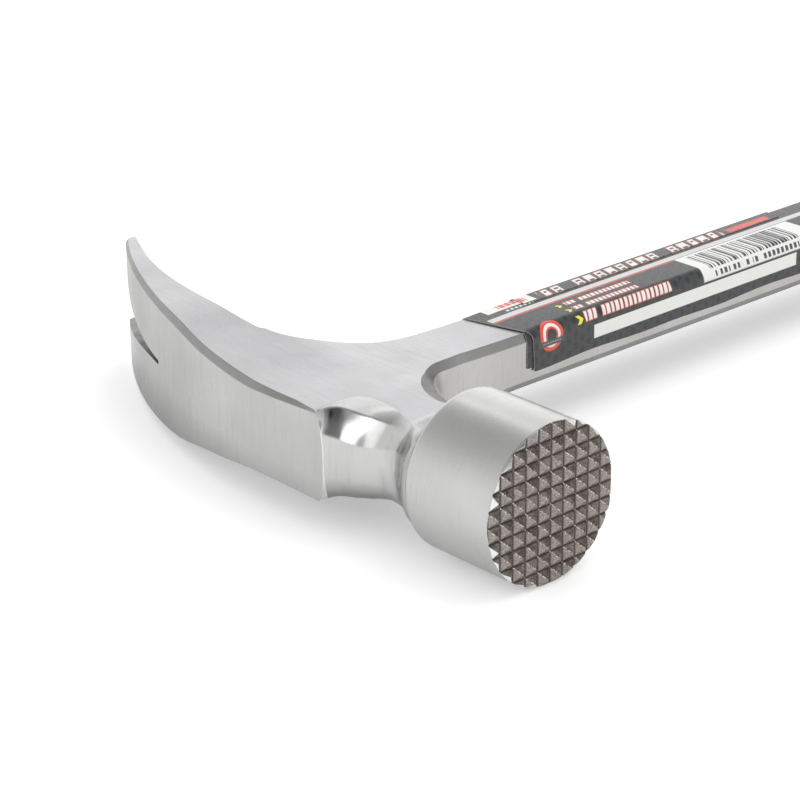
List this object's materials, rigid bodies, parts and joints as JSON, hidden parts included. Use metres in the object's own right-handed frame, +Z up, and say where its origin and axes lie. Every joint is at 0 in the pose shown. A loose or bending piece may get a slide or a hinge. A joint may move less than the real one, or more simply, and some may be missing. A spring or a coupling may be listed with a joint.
{
  "type": "framing hammer",
  "caption": "Forged steel framing hammer lying on its cheek, with a milled face, rip claws, a bevelled shank, a wrapped card label and a soft grooved grip.",
  "frame": {"origin": "centre of the bounding box in X and Y, on the floor that the hammer lies on", "axes": "+X along the head towards the striking face, +Y along the handle towards the butt, +Z up across the cheeks"},
  "size_m": [0.1468, 0.4056, 0.033],
  "materials": {
    "polished_steel": "satin polish with a fine grain, dark matte on the milled face",
    "nylon_core": "moulded, hidden under the sleeve",
    "soft_vinyl": "soft matte with a fine grain",
    "printed_card": "printed black gloss outside, plain card at its cut edges"
  },
  "bodies": {
    "root": {"forging": "polished_steel", "grip_core": "nylon_core", "grip_sleeve": "soft_vinyl", "label": "printed_card"}
  },
  "joints": []
}
